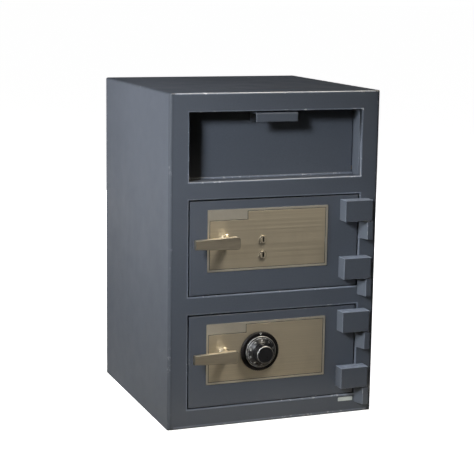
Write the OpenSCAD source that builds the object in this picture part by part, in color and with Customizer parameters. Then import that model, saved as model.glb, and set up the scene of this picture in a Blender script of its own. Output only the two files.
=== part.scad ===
// Two-door drop safe with a tilting deposit hopper in a recess at the top.
// Origin: middle of the underside. X runs to the right, Y to the back, Z up.
// Both doors are shown shut with their bolts drawn back, and the hopper is shut.

/* [Cabinet] */
// Width of the cabinet
cab_w = 508; // [490:1:560]
// Depth of the cabinet from the front frame to the back plate
cab_d = 508; // [460:1:600]
// Thickness of the side, top, back and bottom plates
plate_t = 6.35; // [4:0.05:8]
// Thickness of the front frame
frame_t = 12.7; // [10:0.1:14]
// Radius of the two upright front edges
corner_r = 8.5; // [4:0.5:9.5]
// Width of the frame's stiles
border = 46; // [40:1:50]
// Height of the rail above the deposit recess
top_rail_h = 43; // [38:1:50]
// Height of the rail below the lower door
bottom_rail_h = 47; // [42:1:52]
// Height of the rail between the two doors
mid_rail_h = 43; // [36:1:48]
// Height of the rail below the deposit recess
hopper_rail_h = 41; // [34:1:46]
// Height of the deposit recess
recess_h = 153; // [148:1:190]
// Thickness of the shelf between the two compartments
shelf_t = 4; // [3:0.5:8]

/* [Floor anchors] */
// Radius of an anchor hole
anchor_r = 7; // [5:0.5:9]
// Distance between the anchor holes from left to right
anchor_x = 356; // [250:1:400]
// Distance between the anchor holes from front to back
anchor_y = 330; // [250:1:380]

/* [Doors] */
// Height of a door opening
open_h = 217.5; // [212:0.5:224]
// Thickness of a door plate
door_t = 12.7; // [10:0.1:14]
// Gap round a door at its top, bottom and bolt side
door_gap = 3; // [2:0.5:4]
// Gap at the hinge side of a door
hinge_side_gap = 4; // [3.5:0.5:6]
// Length of the dead bar behind the hinge side
dead_bar_h = 180; // [120:1:190]
// Thickness of the dead bar
dead_bar_t = 10; // [6:0.5:12]
// How far the dead bar reaches behind the frame
dead_bar_reach = 13; // [8:0.5:15]

/* [Hinges] */
// Distance of the hinge axis in front of the frame
hinge_out = 14; // [13.5:0.5:16]
// Distance of the hinge axis from the edge of the opening
hinge_in = 13; // [12:0.5:14]
// Radius of a hinge pin
hinge_pin_r = 5; // [4:0.5:6]
// Height of a hinge block
block_h = 48; // [40:1:56]
// Length of a hinge block from the axis over the door
block_reach = 62; // [45:1:70]
// How far a hinge block stands out from the axis
block_front = 18; // [16:0.5:20]
// How far a hinge block runs past the axis
block_past = 7; // [6:0.5:8]
// Height of a hinge barrel
barrel_h = 41; // [30:1:44]
// How far a hinge barrel reaches past the axis towards the door, at the frame
barrel_root = 12.5; // [11.5:0.5:13]
// How far it reaches past the axis towards the door, at its front
barrel_nose = 3.5; // [3.5:0.5:8]
// How far its front reaches past the axis away from the door
barrel_right = 9.5; // [8:0.5:12]
// Gap between a barrel and the block above it
hinge_gap = 3.5; // [3:0.1:5]
// Height of the lower block above the bottom of its opening
hinge_low = 24; // [23:0.5:28]
// Distance from the lower hinge to the upper one
hinge_pitch = 134; // [110:1:138]

/* [Faceplates] */
// Height of a faceplate
face_h = 140.5; // [120:0.5:150]
// Thickness of a faceplate
face_t = 1.6; // [1:0.1:3]
// Distance of a faceplate from the bolt-side edge of the opening
face_in = 43.5; // [38:0.5:48]
// Distance of a faceplate from the hinge-side edge of the opening
face_hinge_in = 80; // [75:0.5:100]
// Height of a faceplate's middle above the middle of the opening
face_up = 15.5; // [10:0.5:20]

/* [Levers] */
// Distance of the lever's axis from the edge of the faceplate
lever_in = 44.5; // [42:0.5:50]
// Length of a lever from its axis to its tip
lever_len = 86; // [70:1:100]
// Height of a lever at its tip
lever_tip_h = 20; // [14:0.5:24]
// Height of a lever at its broad end
lever_hub_h = 29; // [25:0.5:32]
// Radius of the corners at the broad end
lever_corner_r = 8; // [4:0.5:12]
// How far the broad end runs past the axis
lever_heel = 19; // [15:0.5:22]
// Thickness of a lever
lever_t = 12; // [8:0.5:14]
// How far the front of a lever stands out from the door
lever_out = 42; // [40:1:55]
// Radius of a lever's neck
neck_r = 10; // [9.5:0.5:11]
// Radius of the spindle in the door
spindle_r = 8; // [6:0.5:8.5]
// Radius of the collar round the neck
collar_r = 14; // [13:0.5:18]
// Thickness of the collar
collar_t = 4; // [2:0.5:6]

/* [Boltwork] */
// Radius of a locking bolt
bolt_r = 12.5; // [9:0.5:13]
// Length of a locking bolt
bolt_len = 46; // [45:1:50]
// Distance between locking bolts
bolt_pitch = 70; // [60:1:72]
// Travel of the bolts
throw = 25; // [18:1:27]
// Distance of a drawn bolt's tip from the edge of the opening
bolt_inset = 11; // [10:0.5:12]
// Thickness of the bolt guide
guide_t = 12; // [8:0.5:13]
// Thickness of the bar that carries the bolts
carrier_t = 8; // [5:0.5:10]
// Thickness of the drive plate between the crank and the carrier
drive_t = 6; // [4:0.5:8]
// Thickness of a crank
crank_t = 5; // [4:0.5:6]
// Radius of a crank's drive pin
crank_pin_r = 4; // [3:0.5:5]

/* [Locks] */
// Width of a lock case
case_w = 62; // [54:1:70]
// Height of a lock case
case_h = 80; // [70:1:90]
// Depth of a lock case
case_d = 26; // [24:1:30]
// Wall of a lock case and thickness of its cover
case_t = 3; // [2:0.5:4]
// Distance of the key noses from the edge of the faceplate
key_in = 133.5; // [125:0.5:140]
// Drop of the upper key nose below the middle of the faceplate
key_drop = 1.5; // [0:0.5:5]
// Distance between the two key noses
key_pitch = 35.5; // [28:0.1:40]
// Radius of a key nose
key_r = 8.5; // [7:0.5:9]
// How far a key nose stands out from the faceplate
key_out = 2.4; // [1:0.1:4]
// Width of a key slot
key_slot_w = 3; // [2:0.1:3.5]
// Height of a key slot
key_slot_h = 11; // [9:0.5:12]
// Depth of a key slot
key_slot_d = 18; // [12:1:22]

/* [Combination dial] */
// Distance of the dial's axis from the edge of the faceplate
dial_in = 128.5; // [120:0.5:135]
// Outer radius of the dial ring
ring_r = 46; // [42:0.5:50]
// Depth of the dial ring
ring_d = 8; // [6:0.5:10]
// Thickness of the dial ring's floor
ring_floor = 3; // [2:0.5:4]
// Radius of the dial
dial_r = 36.5; // [32:0.5:38]
// Radius of the dial's knob
knob_r = 20; // [16:0.5:22]
// How far the front of the knob stands out from the faceplate
knob_out = 39; // [32:0.5:42]
// Radius of the dial's spindle
dial_spindle_r = 4; // [3:0.5:5]
// Radius of a lock wheel
wheel_r = 22; // [18:0.5:24]
// Thickness of a lock wheel
wheel_t = 2.5; // [2:0.1:3]

/* [Deposit recess and hopper] */
// Depth of the recess from the front to the hopper's panel
recess_d = 44.5; // [40:0.5:50]
// Thickness of the recess's side walls
jamb_t = 4; // [3:0.5:6]
// Thickness of the recess's sill and header
sill_t = 5; // [3:0.5:6]
// Gap round the hopper's panel
panel_gap = 2.5; // [2:0.5:4]
// Thickness of the hopper's panel
panel_t = 5; // [4:0.5:6]
// Thickness of the hopper's tray and cheeks
tray_t = 3; // [2:0.5:4]
// Slope of the tray while the hopper is shut
tray_slope = 25; // [20:1:28]
// Angle through which the hopper opens
hopper_turn = 45; // [40:1:45]
// Distance of the hopper's axis above the sill
pivot_up = 13; // [12.5:0.5:14]
// Radius of a hopper pivot pin
pivot_r = 5; // [4:0.5:6]
// Wall of a pivot bush
bush_wall = 3; // [2:0.5:4]
// How far a bush's flange stands out round the bush
bush_lip = 3; // [2:0.5:4]
// Thickness of a bush's flange
bush_flange_t = 3; // [2:0.5:4]
// Clear width beside each cheek
cheek_gap = 11; // [9:0.5:12]
// Radius of a stop and of its stud
stop_r = 4; // [3:0.5:5]
// Thickness of the anti-fishing baffle
baffle_t = 3; // [2:0.5:4]
// Height of a tooth on the baffle
tooth_h = 12; // [8:1:18]
// Number of teeth on the baffle
teeth = 14; // [8:1:20]

/* [Hopper grip] */
// Width of the grip
grip_w = 99; // [80:1:120]
// Thickness of the grip's plate
grip_t = 4.5; // [3:0.5:5]
// How far the grip stands out from the panel
grip_out = 41.5; // [30:0.5:43]
// Height of the grip's front lip
lip_h = 21; // [15:0.5:28]
// Height of the flange that is screwed to the panel
flange_h = 23; // [18:0.5:28]
// Outer radius of the grip's bend
bend_r = 5; // [4.5:0.5:8]
// Distance between the grip's screws
screw_pitch = 60; // [40:1:70]
// Radius of a screw's shank
screw_r = 2.5; // [2:0.25:3]

/* [Clearances] */
// Radial clearance of a shaft, pin or bolt that turns or slides
run_gap = 0.05; // [0.03:0.01:0.08]
// Gap between pieces that meet at a stop or a bearing face
seat_gap = 0.3; // [0.2:0.05:0.5]

/* [Hidden] */
$fn = 96;

paint = [0.29, 0.33, 0.37];
bare_steel = [0.62, 0.63, 0.64];
nickel = [0.71, 0.67, 0.60];
black = [0.09, 0.09, 0.10];
rubber = [0.13, 0.13, 0.13];
bronze = [0.66, 0.50, 0.28];
zinc = [0.55, 0.55, 0.56];

LOWER = 0;
UPPER = 1;

front_y = -cab_d / 2;
back_y = cab_d / 2;
side_x = cab_w / 2;
frame_back_y = front_y + frame_t;
inner_x = side_x - plate_t;
open_x = side_x - border;
door_z = [bottom_rail_h, bottom_rail_h + open_h + mid_rail_h];
sill_z = door_z[UPPER] + open_h + hopper_rail_h;
header_z = sill_z + recess_h;
cab_h = header_z + top_rail_h;
shelf_z = door_z[UPPER] - (mid_rail_h + shelf_t) / 2;

// Door, in the plane of its opening, with heights from the opening's bottom edge
door_x0 = -open_x + door_gap;
door_x1 = open_x - hinge_side_gap;
door_back_y = front_y + door_t;
door_mid_z = open_h / 2;
hinge_x = open_x + hinge_in;
hinge_y = front_y - hinge_out;
face_x0 = -open_x + face_in;
face_x1 = open_x - face_hinge_in;
face_front_y = front_y - face_t;
face_z = door_mid_z + face_up;
lever_x = face_x0 + lever_in;
lever_back_y = front_y - lever_out + lever_t;
key_x = face_x0 + key_in;
key_z = [face_z - key_drop - key_pitch, face_z - key_drop];
key_tail = 9;
dial_x = face_x0 + dial_in;
dial_z = face_z;

// Hinge block round its axis: it keeps clear of the frame while it turns
block_relief = 0.5;
block_edge_r = 3;
hinge_bore_depth = 34;
barrel_floor = 5;
pin_end_gap = 1;
pin_flange_r = 7.5;
barrel_flare = 4.5;

// Boltwork behind the door
works_y = front_y + max(frame_t, door_t);
bolt_gap = 2.5;
bolt_y = works_y + bolt_gap + bolt_r;
bolt_tip_x = -open_x + bolt_inset;
bolt_root_x = bolt_tip_x + bolt_len;
bolt_nose = 4;
guide_margin = 10;
lever_turn = 90;
crank_r = throw / 2 / sin(lever_turn / 2);
crank_pin_x = crank_r * sin(lever_turn / 2);
crank_pin_z = crank_r * cos(lever_turn / 2);
crank_hub_wall = 4;
crank_hub_r = spindle_r + crank_hub_wall;
crank_end_wall = 3;
crank_end_r = crank_pin_r + crank_end_wall;
slot_play = 0.8;
slot_wall = 7;
crank_gap = 0.5;
crank_front_y = works_y + crank_gap;
crank_back_y = crank_front_y + crank_t;
spindle_past = 3;
spindle_end_y = crank_back_y + spindle_past;
drive_front_y = bolt_y - drive_t / 2;
drive_back_y = bolt_y + drive_t / 2;
crank_pin_past = 1;
dead_gap = 4.5;
dead_bar_w = 25;

// Dial
dial_gap = 0.5;
dial_rim_d = 7.5;
dial_cone_d = 9;
cone_step = 3;
dial_cone_r = knob_r + cone_step;
dial_side_gap = 1.5;
ring_bore_r = dial_r + dial_side_gap;
ring_chamfer = 2;
knob_chamfer = 1.5;
wheel_pitch = 5;
wheel_gate = 5;
wheel_gap = 2;
wheel_turn = 50;
wheels = 3;

// Hopper, round its pivot
panel_y = front_y + recess_d;
panel_back_y = panel_y + panel_t;
pivot_clear = 1;
pivot_y = panel_back_y + pivot_r + pivot_clear;
pivot_z = sill_z + pivot_up;
panel_rise = 3;
panel_z0 = sill_z + panel_rise;
panel_z1 = header_z - panel_rise;
hopper_r = panel_z1 - pivot_z;
panel_x = open_x - panel_gap;
cheek_x = open_x - cheek_gap;
swing_gap = 3;
bush_r = pivot_r + bush_wall;
bush_flange_r = bush_r + bush_lip;
pivot_past = 1;
baffle_in = 2;
baffle_y = pivot_y + hopper_r - baffle_in;
baffle_drop = sqrt(pow(hopper_r + swing_gap, 2) - pow(hopper_r - baffle_in, 2));
baffle_z = pivot_z + baffle_drop;
wall_y1 = baffle_y + baffle_t;
wall_below = 8;
wall_z0 = pivot_z - bush_flange_r - wall_below;
sill_lap = 1;
header_lap = 4;
stop_inset = 20;
stop_orbit = hopper_r - stop_inset;
stop_above_tray = 10;
stop_angle = stop_above_tray - tray_slope;
stop_end_gap = 3;
stop_len = cheek_gap - stop_end_gap;
stop_step = 2 * asin((2 * stop_r + seat_gap) / 2 / stop_orbit);
bumper_h = 12;
bumper_d = 8;
bumper_drop = 26;
bumper_side_gap = 2;
bumper_z = panel_z1 - bumper_drop;

// Grip
grip_y = panel_y - grip_out;
screw_up = 8;
screw_past = 4;
screw_z = panel_z1 - flange_h + screw_up;
screw_head_r = screw_r * 1.8;
screw_head_t = 2.2;
screw_len = grip_t + panel_t + screw_past;

module slab(lo, hi) translate(lo) cube(hi - lo);

module rod_x(x, y, z, r, len) translate([x, y, z]) rotate([0, 90, 0]) cylinder(r = r, h = len);

module rod_y(x, y, z, r, len) translate([x, y, z]) rotate([-90, 0, 0]) cylinder(r = r, h = len);

module both_sides() {
    children();
    mirror([1, 0, 0]) children();
}

module at_door(which) translate([0, 0, door_z[which]]) children();

// Cabinet shell

module side_plate() slab([inner_x, frame_back_y, 0], [side_x, back_y, cab_h]);

module side_plate_left() color(paint) mirror([1, 0, 0]) side_plate();

module side_plate_right() color(paint) side_plate();

module top_plate() color(paint)
    slab([-inner_x, frame_back_y, cab_h - plate_t], [inner_x, back_y, cab_h]);

module back_plate() color(paint)
    slab([-inner_x, back_y - plate_t, plate_t], [inner_x, back_y, cab_h - plate_t]);

module bottom_plate() color(paint) difference() {
    slab([-inner_x, frame_back_y, 0], [inner_x, back_y, plate_t]);
    for (sx = [-1, 1], sy = [-1, 1])
        translate([sx * anchor_x / 2, sy * anchor_y / 2, -1])
            cylinder(r = anchor_r, h = plate_t + 2);
}

// Front frame

module stile() union() {
    corner_x = side_x - corner_r;
    corner_y = front_y + corner_r;
    slab([open_x, front_y, 0], [corner_x, frame_back_y, cab_h]);
    slab([corner_x, corner_y, 0], [side_x, frame_back_y, cab_h]);
    intersection() {
        translate([corner_x, corner_y, 0]) cylinder(r = corner_r, h = cab_h);
        slab([corner_x, front_y, 0], [side_x, corner_y, cab_h]);
    }
}

module frame_stile_left() color(paint) mirror([1, 0, 0]) stile();

module frame_stile_right() color(paint) stile();

module rail(z0, z1) slab([-open_x, front_y, z0], [open_x, frame_back_y, z1]);

module frame_top_rail() color(paint) rail(header_z, cab_h);

module frame_hopper_rail() color(paint) rail(sill_z - hopper_rail_h, sill_z);

module frame_middle_rail() color(paint) rail(door_z[UPPER] - mid_rail_h, door_z[UPPER]);

module frame_bottom_rail() color(paint) rail(0, bottom_rail_h);

module compartment_shelf() color(paint)
    slab([-inner_x, frame_back_y, shelf_z], [inner_x, back_y - plate_t, shelf_z + shelf_t]);

// Deposit recess and the fixed pieces round the hopper

module recess_jamb() difference() {
    slab([open_x, frame_back_y, wall_z0], [open_x + jamb_t, wall_y1, cab_h - plate_t]);
    rod_x(open_x - 1, pivot_y, pivot_z, bush_r + run_gap, jamb_t + 2);
}

module recess_jamb_left() color(paint) mirror([1, 0, 0]) recess_jamb();

module recess_jamb_right() color(paint) recess_jamb();

module recess_sill() color(paint)
    slab([-open_x, frame_back_y, sill_z - sill_t], [open_x, panel_y + sill_lap, sill_z]);

module recess_header() color(paint)
    slab([-open_x, frame_back_y, header_z], [open_x, panel_back_y + header_lap, header_z + sill_t]);

module hopper_bushes() color(bronze) both_sides() difference() {
    union() {
        rod_x(open_x, pivot_y, pivot_z, bush_r, jamb_t);
        rod_x(open_x + jamb_t, pivot_y, pivot_z, bush_flange_r, bush_flange_t);
    }
    rod_x(open_x - 1, pivot_y, pivot_z, pivot_r + run_gap, jamb_t + bush_flange_t + 2);
}

module stop_place(angle) translate([0, pivot_y, pivot_z])
    rotate([angle, 0, 0]) translate([0, stop_orbit, 0]) children();

module hopper_stops() color(bare_steel) both_sides()
    stop_place(stop_angle + hopper_turn + stop_step)
        rod_x(cheek_x + stop_end_gap, 0, 0, stop_r, stop_len);

module hopper_bumpers() color(rubber) both_sides()
    slab([cheek_x + bumper_side_gap, panel_back_y + seat_gap, bumper_z],
         [open_x, panel_back_y + seat_gap + bumper_d, bumper_z + bumper_h]);

module fishing_baffle() color(bare_steel) {
    tooth_w = 2 * open_x / teeth;
    translate([0, baffle_y + baffle_t, 0]) rotate([90, 0, 0]) linear_extrude(baffle_t)
        polygon(concat(
            [[open_x, cab_h - plate_t], [-open_x, cab_h - plate_t]],
            [[-open_x, baffle_z + tooth_h]],
            [for (i = [0 : 2 * teeth - 1])
                [-open_x + (i + 1) * tooth_w / 2, baffle_z + (i % 2 == 0 ? 0 : tooth_h)]]
        ));
}

// Hinges: barrels and pins on the frame, blocks on the doors

module at_hinge(which, i)
    translate([hinge_x, hinge_y, door_z[which] + hinge_low + i * hinge_pitch]) children();

module hinge_barrels() color(paint)
    for (which = [LOWER, UPPER], i = [0, 1]) at_hinge(which, i)
        translate([0, 0, -hinge_gap - barrel_h]) difference() {
            linear_extrude(barrel_h) polygon([
                [-barrel_root, hinge_out],
                [-barrel_nose, -hinge_out],
                [barrel_right, -hinge_out],
                [barrel_right + barrel_flare, hinge_out]
            ]);
            translate([0, 0, barrel_floor])
                cylinder(r = hinge_pin_r + run_gap, h = barrel_h);
        }

module hinge_pins() color(bare_steel)
    for (which = [LOWER, UPPER], i = [0, 1]) at_hinge(which, i) {
        below = hinge_gap + barrel_h - barrel_floor;
        translate([0, 0, -below])
            cylinder(r = hinge_pin_r, h = below + hinge_bore_depth - pin_end_gap);
        translate([0, 0, -hinge_gap]) cylinder(r = pin_flange_r, h = hinge_gap - seat_gap);
    }

module hinge_block() {
    turn_r = hinge_out - block_relief;
    over_door = door_x1 - hinge_x;
    corner_x = block_past - block_edge_r;
    corner_y = block_edge_r - block_front;
    difference() {
        union() {
            slab([-block_reach, -block_front, 0], [over_door, hinge_out, block_h]);
            slab([over_door, -block_front, 0], [corner_x, 0, block_h]);
            slab([corner_x, corner_y, 0], [block_past, 0, block_h]);
            translate([corner_x, corner_y, 0]) cylinder(r = block_edge_r, h = block_h);
            slab([over_door, 0, 0], [0, turn_r, block_h]);
            intersection() {
                cylinder(r = turn_r, h = block_h);
                slab([0, 0, 0], [block_past, turn_r, block_h]);
            }
        }
        translate([0, 0, -1]) cylinder(r = hinge_pin_r + run_gap, h = hinge_bore_depth + 1);
    }
}

module hinge_blocks(which) color(paint) for (i = [0, 1]) at_hinge(which, i) hinge_block();

// Doors

module door_plate(which, bores) color(paint) at_door(which) difference() {
    slab([door_x0, front_y, door_gap], [door_x1, door_back_y, open_h - door_gap]);
    for (b = bores) rod_y(b[0], front_y - 1, b[1], b[2] + run_gap, door_t + 2);
}

module faceplate(which, bores) color(nickel) at_door(which) difference() {
    slab([face_x0, face_front_y, face_z - face_h / 2],
         [face_x1, front_y, face_z + face_h / 2]);
    for (b = bores) rod_y(b[0], face_front_y - 1, b[1], b[2] + seat_gap, face_t + 2);
}

module dead_bar(which) color(bare_steel) at_door(which) {
    bar_y = frame_back_y + dead_gap;
    z0 = door_mid_z - dead_bar_h / 2;
    z1 = door_mid_z + dead_bar_h / 2;
    slab([door_x1 - dead_bar_w, door_back_y, z0], [door_x1, bar_y, z1]);
    slab([door_x1 - dead_bar_w, bar_y, z0], [open_x + dead_bar_reach, bar_y + dead_bar_t, z1]);
}

module lever_collar(which) color(nickel) at_door(which) difference() {
    rod_y(lever_x, face_front_y - collar_t, face_z, collar_r, collar_t);
    rod_y(lever_x, face_front_y - collar_t - 1, face_z, neck_r + run_gap, collar_t + 2);
}

// Levers and boltwork

module lever(which) color(nickel) at_door(which) {
    corner_x = lever_heel - lever_corner_r;
    corner_z = lever_hub_h / 2 - lever_corner_r;
    translate([lever_x, lever_back_y, face_z]) rotate([90, 0, 0]) linear_extrude(lever_t) union() {
        polygon([
            [-lever_len, -lever_tip_h / 2],
            [corner_x, -lever_hub_h / 2],
            [lever_heel, -corner_z],
            [lever_heel, corner_z],
            [corner_x, lever_hub_h / 2],
            [-lever_len, lever_tip_h / 2]
        ]);
        for (z = [-corner_z, corner_z]) translate([corner_x, z]) circle(r = lever_corner_r);
    }
}

module lever_spindle(which) color(nickel) at_door(which) {
    neck_end_y = face_front_y - seat_gap;
    rod_y(lever_x, lever_back_y, face_z, neck_r, neck_end_y - lever_back_y);
    rod_y(lever_x, neck_end_y, face_z, spindle_r, spindle_end_y - neck_end_y);
}

module crank(which) color(zinc) at_door(which) difference() {
    arm_w = crank_end_r;
    union() {
        rod_y(lever_x, crank_front_y, face_z, crank_hub_r, crank_t);
        rod_y(lever_x + crank_pin_x, crank_front_y, face_z + crank_pin_z, crank_end_r, crank_t);
        translate([lever_x, 0, face_z]) rotate([0, lever_turn / 2, 0])
            slab([-arm_w, crank_front_y, 0], [arm_w, crank_back_y, crank_r]);
        rod_y(lever_x + crank_pin_x, crank_back_y, face_z + crank_pin_z,
              crank_pin_r, drive_back_y + crank_pin_past - crank_back_y);
    }
    rod_y(lever_x, crank_front_y - 1, face_z, spindle_r + run_gap, crank_t + 2);
}

module bolts(which) color(bare_steel) at_door(which) for (i = [-1, 0, 1])
    rod_x(bolt_tip_x, bolt_y, door_mid_z + i * bolt_pitch, bolt_r, bolt_len);

module bolt_guide(which) color(zinc) at_door(which) difference() {
    reach = bolt_pitch + bolt_r + guide_margin;
    x0 = bolt_tip_x + bolt_nose;
    slab([x0, door_back_y, door_mid_z - reach],
         [x0 + guide_t, bolt_y + bolt_r + bolt_gap, door_mid_z + reach]);
    for (i = [-1, 0, 1])
        rod_x(x0 - 1, bolt_y, door_mid_z + i * bolt_pitch, bolt_r + run_gap, guide_t + 2);
}

module bolt_bar(which) color(zinc) at_door(which) difference() {
    slot_x = lever_x + crank_pin_x;
    slot_half = crank_pin_r + slot_play;
    slot_z0 = face_z + crank_pin_z;
    slot_z1 = face_z + crank_r;
    reach = bolt_pitch + bolt_r;
    carrier_x = bolt_root_x + carrier_t;
    union() {
        slab([bolt_root_x, bolt_y - bolt_r, door_mid_z - reach],
             [carrier_x, bolt_y + bolt_r, door_mid_z + reach]);
        slab([carrier_x, drive_front_y, slot_z0 - slot_half - slot_wall],
             [slot_x + slot_half + slot_wall, drive_back_y, slot_z1 + slot_half + slot_wall]);
    }
    slab([slot_x - slot_half, drive_front_y - 1, slot_z0], [slot_x + slot_half, drive_back_y + 1, slot_z1]);
    for (z = [slot_z0, slot_z1]) rod_y(slot_x, drive_front_y - 1, z, slot_half, drive_t + 2);
}

// Locks

module lock_case(which, x, z, bores) color(zinc) at_door(which) difference() {
    slab([x - case_w / 2, door_back_y, z - case_h / 2],
         [x + case_w / 2, door_back_y + case_d, z + case_h / 2]);
    slab([x - case_w / 2 + case_t, door_back_y + case_t, z - case_h / 2 + case_t],
         [x + case_w / 2 - case_t, door_back_y + case_d + 1, z + case_h / 2 - case_t]);
    for (b = bores) rod_y(b[0], door_back_y - 1, b[1], b[2] + run_gap, case_t + 2);
}

module lock_cover(which, x, z) color(zinc) at_door(which)
    slab([x - case_w / 2, door_back_y + case_d, z - case_h / 2],
         [x + case_w / 2, door_back_y + case_d + case_t, z + case_h / 2]);

module key_nose(i) color(nickel) at_door(UPPER) difference() {
    nose_y = face_front_y - key_out;
    rod_y(key_x, nose_y, key_z[i], key_r, door_back_y + key_tail - nose_y);
    slab([key_x - key_slot_w / 2, nose_y - 1, key_z[i] - key_slot_h / 2],
         [key_x + key_slot_w / 2, nose_y + key_slot_d, key_z[i] + key_slot_h / 2]);
}

module at_dial(out) at_door(LOWER)
    translate([dial_x, face_front_y - out, dial_z]) rotate([90, 0, 0]) children();

module dial_ring() color(black) at_dial(0) rotate_extrude() polygon([
    [dial_spindle_r + seat_gap, 0],
    [ring_r, 0],
    [ring_r, ring_d - ring_chamfer],
    [ring_r - ring_chamfer, ring_d],
    [ring_bore_r, ring_d],
    [ring_bore_r, ring_floor],
    [dial_spindle_r + seat_gap, ring_floor]
]);

module dial() color(black) at_dial(ring_floor + dial_gap) {
    knob_d = knob_out - ring_floor - dial_gap;
    rotate_extrude() polygon([
        [0, 0],
        [dial_r, 0],
        [dial_r, dial_rim_d],
        [dial_cone_r, dial_rim_d + dial_cone_d],
        [knob_r, dial_rim_d + dial_cone_d],
        [knob_r, knob_d - knob_chamfer],
        [knob_r - knob_chamfer, knob_d],
        [0, knob_d]
    ]);
}

module dial_spindle() color(bare_steel) at_door(LOWER) {
    start_y = face_front_y - ring_floor - dial_gap;
    end_y = door_back_y + case_d - case_t;
    rod_y(dial_x, start_y, dial_z, dial_spindle_r, end_y - start_y);
}

module dial_wheels() color(bronze) at_door(LOWER) for (i = [0 : wheels - 1])
    translate([dial_x, door_back_y + case_t + wheel_gap + i * wheel_pitch, dial_z]) difference() {
        rod_y(0, 0, 0, wheel_r, wheel_t);
        rod_y(0, -1, 0, dial_spindle_r + run_gap, wheel_t + 2);
        rotate([0, i * wheel_turn, 0])
            slab([-wheel_gate / 2, -1, wheel_r - wheel_gate], [wheel_gate / 2, wheel_t + 1, wheel_r + 1]);
    }

// Hopper

module hopper_panel() color(paint) difference() {
    slab([-panel_x, panel_y, panel_z0], [panel_x, panel_back_y, panel_z1]);
    for (sx = [-1, 1])
        rod_y(sx * screw_pitch / 2, panel_y - 1, screw_z, screw_r + run_gap, panel_t + 2);
}

module cheek_outline() {
    c = cos(tray_slope);
    s = sin(tray_slope);
    front = panel_back_y - pivot_y;
    polygon([
        [front, panel_z0 - pivot_z],
        [hopper_r * c - tray_t * s, -hopper_r * s - tray_t * c],
        [2 * hopper_r * c, -2 * hopper_r * s],
        [2 * hopper_r, 2 * hopper_r],
        [front, 2 * hopper_r]
    ]);
}

// Stands an outline of Y and Z values, taken round the pivot, at the given X
module from_side(x, len) translate([x, pivot_y, pivot_z]) rotate([90, 0, 90]) linear_extrude(len) children();

module hopper_cheeks() color(paint) both_sides() {
    intersection() {
        from_side(cheek_x - tray_t, tray_t) cheek_outline();
        rod_x(cheek_x - tray_t - 1, pivot_y, pivot_z, hopper_r, tray_t + 2);
    }
    stop_place(stop_angle) rod_x(cheek_x, 0, 0, stop_r, stop_len);
}

module hopper_tray() color(paint) {
    c = cos(tray_slope);
    s = sin(tray_slope);
    front = panel_back_y - pivot_y;
    half_w = cheek_x - tray_t;
    from_side(-half_w, 2 * half_w) polygon([
        [front, -front * s / c],
        [front, -front * s / c - tray_t / c],
        [hopper_r * c - tray_t * s, -hopper_r * s - tray_t * c],
        [hopper_r * c, -hopper_r * s]
    ]);
}

module hopper_pivot_pins() color(bare_steel) both_sides()
    rod_x(cheek_x, pivot_y, pivot_z, pivot_r, cheek_gap + jamb_t + bush_flange_t + pivot_past);

module hopper_grip() color(paint) difference() {
    half_w = grip_w / 2;
    lip_z = panel_z1 - lip_h;
    flange_z = panel_z1 - flange_h;
    union() {
        slab([-half_w, grip_y + bend_r, panel_z1 - grip_t], [half_w, panel_y, panel_z1]);
        slab([-half_w, grip_y, lip_z], [half_w, grip_y + grip_t, panel_z1 - bend_r]);
        slab([-half_w, panel_y - grip_t, flange_z], [half_w, panel_y, panel_z1]);
        intersection() {
            rod_x(-half_w, grip_y + bend_r, panel_z1 - bend_r, bend_r, grip_w);
            slab([-half_w, grip_y, panel_z1 - bend_r], [half_w, grip_y + bend_r, panel_z1]);
        }
    }
    for (sx = [-1, 1])
        rod_y(sx * screw_pitch / 2, panel_y - grip_t - 1, screw_z, screw_r + run_gap, grip_t + 2);
}

module grip_screws() color(bare_steel) for (sx = [-1, 1]) {
    head_y = panel_y - grip_t - screw_head_t;
    rod_y(sx * screw_pitch / 2, head_y, screw_z, screw_head_r, screw_head_t);
    rod_y(sx * screw_pitch / 2, panel_y - grip_t, screw_z, screw_r, screw_len);
}

// Bores through each door: place across, height above the opening, radius
key_bores = [for (z = key_z) [key_x, z, key_r]];
dial_bore = [dial_x, dial_z, dial_spindle_r];
lever_bore = [lever_x, face_z, spindle_r];
key_case_z = (key_z[0] + key_z[1]) / 2;

side_plate_left();
side_plate_right();
top_plate();
back_plate();
bottom_plate();
frame_stile_left();
frame_stile_right();
frame_top_rail();
frame_hopper_rail();
frame_middle_rail();
frame_bottom_rail();
compartment_shelf();
recess_jamb_left();
recess_jamb_right();
recess_sill();
recess_header();
hopper_bushes();
hopper_stops();
hopper_bumpers();
fishing_baffle();
hinge_barrels();
hinge_pins();
hopper_panel();
hopper_cheeks();
hopper_tray();
hopper_grip();
grip_screws();
hopper_pivot_pins();
door_plate(UPPER, concat([lever_bore], key_bores));  // upper_door_plate
faceplate(UPPER, concat([lever_bore], key_bores));  // upper_faceplate
hinge_blocks(UPPER);  // upper_hinge_blocks
dead_bar(UPPER);  // upper_dead_bar
bolt_guide(UPPER);  // upper_bolt_guide
lock_case(UPPER, key_x, key_case_z, key_bores);  // upper_lock_case
lock_cover(UPPER, key_x, key_case_z);  // upper_lock_cover
lever_collar(UPPER);  // upper_lever_collar
lever(UPPER);  // upper_lever
lever_spindle(UPPER);  // upper_lever_spindle
crank(UPPER);  // upper_crank
bolt_bar(UPPER);  // upper_bolt_bar
bolts(UPPER);  // upper_bolts
key_nose(1);  // key_nose_top
key_nose(0);  // key_nose_bottom
door_plate(LOWER, [lever_bore, dial_bore]);  // lower_door_plate
faceplate(LOWER, [lever_bore, dial_bore]);  // lower_faceplate
hinge_blocks(LOWER);  // lower_hinge_blocks
dead_bar(LOWER);  // lower_dead_bar
bolt_guide(LOWER);  // lower_bolt_guide
lock_case(LOWER, dial_x, dial_z, [dial_bore]);  // lower_lock_case
lock_cover(LOWER, dial_x, dial_z);  // lower_lock_cover
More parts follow.
